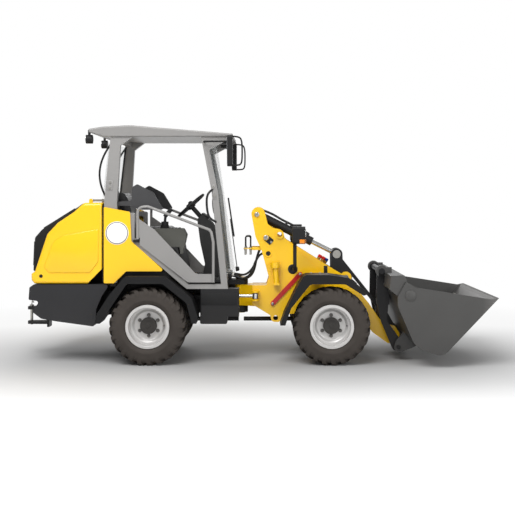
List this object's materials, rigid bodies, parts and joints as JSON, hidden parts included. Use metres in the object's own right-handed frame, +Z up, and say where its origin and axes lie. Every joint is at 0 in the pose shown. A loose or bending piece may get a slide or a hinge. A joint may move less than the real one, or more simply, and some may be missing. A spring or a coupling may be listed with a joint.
{
  "type": "compact wheel loader",
  "caption": "Compact articulated wheel loader with a canopy cab, half doors, parallel lift linkage, quick hitch and a general purpose bucket.",
  "frame": {"origin": "on the ground, midway between the tow hitch and the bucket's tip, on the centre plane", "axes": "+X to the front, +Y to the machine's left, +Z up"},
  "size_m": [4.71, 1.45, 2.3542],
  "materials": {
    "paint_yellow": "gloss",
    "cab_grey": "satin",
    "casting_anthracite": "satin",
    "steel_dark": "satin",
    "black_paint": "satin",
    "black_plastic": "matte",
    "console_grey": "matte",
    "seat_vinyl": "matte",
    "glass": "gloss",
    "red_paint": "gloss",
    "chrome": "polished",
    "tyre_rubber": "matte",
    "rim_silver": "satin"
  },
  "bodies": {
    "rear_body": {"rear_frame": "casting_anthracite", "rear_axle": "black_paint", "counterweight": "casting_anthracite", "tow_hitch": "black_paint", "engine": "steel_dark", "side_panels": "paint_yellow", "rear_fenders": "black_plastic", "cab_frame": "cab_grey", "cab_roof": "cab_grey", "windscreen": "glass", "rear_window": "glass", "cab_floor": "black_plastic", "seat_base": "black_paint", "seat_cushion": "seat_vinyl", "seat_backrest": "seat_vinyl", "side_restraints": "black_plastic", "control_console": "console_grey", "joystick": "black_plastic", "steering_column": "black_plastic", "steering_wheel": "black_plastic", "mirrors": "black_plastic", "work_lights": "black_plastic", "step_boxes": "black_paint", "door_hinges": "black_paint", "rear_shaft": "black_paint"},
    "hood": {"engine_hood": "paint_yellow", "hood_grille": "black_plastic"},
    "door_right": {"door_right": "cab_grey"},
    "door_left": {"door_left": "cab_grey"},
    "front_body": {"front_frame": "paint_yellow", "front_axle": "black_paint", "front_fenders": "black_plastic", "headlights": "black_plastic", "oil_filler": "black_plastic", "lock_strut": "red_paint", "front_shaft": "black_paint"},
    "boom": {"boom": "paint_yellow"},
    "lever_pin": {"lever_pin": "paint_yellow"},
    "tilt_lever": {"tilt_lever": "black_paint"},
    "link_pins": {"link_pins": "paint_yellow"},
    "tilt_link": {"tilt_link": "black_paint"},
    "hitch_pin": {"hitch_pin": "paint_yellow"},
    "bucket": {"quick_hitch": "black_paint", "bucket": "steel_dark"},
    "tilt_barrel": {"tilt_barrel": "black_paint"},
    "tilt_rod": {"tilt_rod": "chrome"},
    "lift_barrel": {"lift_barrel": "black_paint"},
    "lift_rod": {"lift_rod": "chrome"},
    "steer_barrel": {"steer_barrel": "black_paint"},
    "steer_rod": {"steer_rod": "chrome"},
    "wheel_front_right": {"tyre_front_right": "tyre_rubber", "rim_front_right": "rim_silver"},
    "wheel_front_left": {"tyre_front_left": "tyre_rubber", "rim_front_left": "rim_silver"},
    "wheel_rear_right": {"tyre_rear_right": "tyre_rubber", "rim_rear_right": "rim_silver"},
    "wheel_rear_left": {"tyre_rear_left": "tyre_rubber", "rim_rear_left": "rim_silver"}
  },
  "joints": [
    {"name": "hood_lift", "type": "hinge", "parent": "rear_body", "child": "hood", "pos_m": [-1.633, 0, 1.612], "axis": [0, 1, 0], "range_deg": [0, 48]},
    {"name": "door_right_swing", "type": "hinge", "parent": "rear_body", "child": "door_right", "pos_m": [-1.14, -0.5, 1.232], "axis": [0, 0, -1], "range_deg": [0, 100]},
    {"name": "door_left_swing", "type": "hinge", "parent": "rear_body", "child": "door_left", "pos_m": [-1.14, 0.5, 1.232], "axis": [0, 0, 1], "range_deg": [0, 100]},
    {"name": "steer", "type": "hinge", "parent": "rear_body", "child": "front_body", "pos_m": [-0.133, 0, 0.64], "axis": [0, 0, 1], "range_deg": [-40, 40]},
    {"name": "boom_lift", "type": "hinge", "parent": "front_body", "child": "boom", "pos_m": [0.1244, 0, 1.2322], "axis": [0, -1, 0], "range_deg": [-3, 106]},
    {"name": "lever_pin_turn", "type": "hinge", "parent": "boom", "child": "lever_pin", "pos_m": [0.9479, 0, 0.8204], "axis": [0, -1, 0], "range_deg": [-106, 3]},
    {"name": "tilt_lever_turn", "type": "hinge", "parent": "lever_pin", "child": "tilt_lever", "pos_m": [0.9479, 0, 0.8204], "axis": [0, -1, 0], "range_deg": [-90, 2]},
    {"name": "link_pin_turn", "type": "hinge", "parent": "tilt_lever", "child": "link_pins", "pos_m": [0.8547, 0, 1.057], "axis": [0, -1, 0], "range_deg": [-3, 106]},
    {"name": "tilt_link_turn", "type": "hinge", "parent": "link_pins", "child": "tilt_link", "pos_m": [0.8547, 0, 1.057], "axis": [0, -1, 0], "range_deg": [-2, 90]},
    {"name": "hitch_pin_turn", "type": "hinge", "parent": "boom", "child": "hitch_pin", "pos_m": [1.4195, 0, 0.2324], "axis": [0, -1, 0], "range_deg": [-106, 3]},
    {"name": "bucket_tilt", "type": "hinge", "parent": "hitch_pin", "child": "bucket", "pos_m": [1.4195, 0, 0.2324], "axis": [0, -1, 0], "range_deg": [-90, 2]},
    {"name": "tilt_barrel_turn", "type": "hinge", "parent": "front_body", "child": "tilt_barrel", "pos_m": [0.0312, 0, 1.4688], "axis": [0, -1, 0], "range_deg": [-3, 106]},
    {"name": "tilt_rod_slide", "type": "slide", "parent": "tilt_barrel", "child": "tilt_rod", "axis": [0.8944, 0, -0.4473], "range_m": [-0.00798, 0.35926]},
    {"name": "lift_barrel_turn", "type": "hinge", "parent": "front_body", "child": "lift_barrel", "pos_m": [0.242, 0, 0.47], "axis": [0, -1, 0], "range_deg": [-0.17, 6]},
    {"name": "lift_rod_slide", "type": "slide", "parent": "lift_barrel", "child": "lift_rod", "axis": [0.1134, 0, 0.9935], "range_m": [-0.01154, 0.40774]},
    {"name": "steer_barrel_turn", "type": "hinge", "parent": "rear_body", "child": "steer_barrel", "pos_m": [-0.633, -0.2, 0.64], "axis": [0, 0, 1], "range_deg": [-8.36, 8.36]},
    {"name": "steer_rod_slide", "type": "slide", "parent": "steer_barrel", "child": "steer_rod", "axis": [1, 0, 0], "range_m": [-0.13413, 0.13413]},
    {"name": "wheel_front_right_spin", "type": "hinge", "parent": "front_body", "child": "wheel_front_right", "pos_m": [0.767, 0, 0.38], "axis": [0, 1, 0], "continuous": true},
    {"name": "wheel_front_left_spin", "type": "hinge", "parent": "front_body", "child": "wheel_front_left", "pos_m": [0.767, 0, 0.38], "axis": [0, 1, 0], "continuous": true},
    {"name": "wheel_rear_right_spin", "type": "hinge", "parent": "rear_body", "child": "wheel_rear_right", "pos_m": [-1.033, 0, 0.38], "axis": [0, 1, 0], "continuous": true},
    {"name": "wheel_rear_left_spin", "type": "hinge", "parent": "rear_body", "child": "wheel_rear_left", "pos_m": [-1.033, 0, 0.38], "axis": [0, 1, 0], "continuous": true}
  ],
  "couplings": [
    {"joint": "lever_pin_turn", "follows": "boom_lift", "ratio": -1},
    {"joint": "tilt_lever_turn", "follows": "bucket_tilt", "ratio": 1},
    {"joint": "link_pin_turn", "follows": "boom_lift", "ratio": 1},
    {"joint": "tilt_link_turn", "follows": "bucket_tilt", "ratio": -1},
    {"joint": "hitch_pin_turn", "follows": "boom_lift", "ratio": -1},
    {"joint": "tilt_barrel_turn", "follows": "boom_lift", "ratio": 1},
    {"joint": "tilt_rod_slide", "follows": "bucket_tilt", "m_per_rad": -0.22871},
    {"joint": "lift_barrel_turn", "follows": "boom_lift", "ratio": 0.056616},
    {"joint": "lift_rod_slide", "follows": "boom_lift", "m_per_rad": 0.2204},
    {"joint": "steer_barrel_turn", "follows": "steer", "ratio": 0.20912},
    {"joint": "steer_rod_slide", "follows": "steer", "m_per_rad": 0.19212}
  ]
}
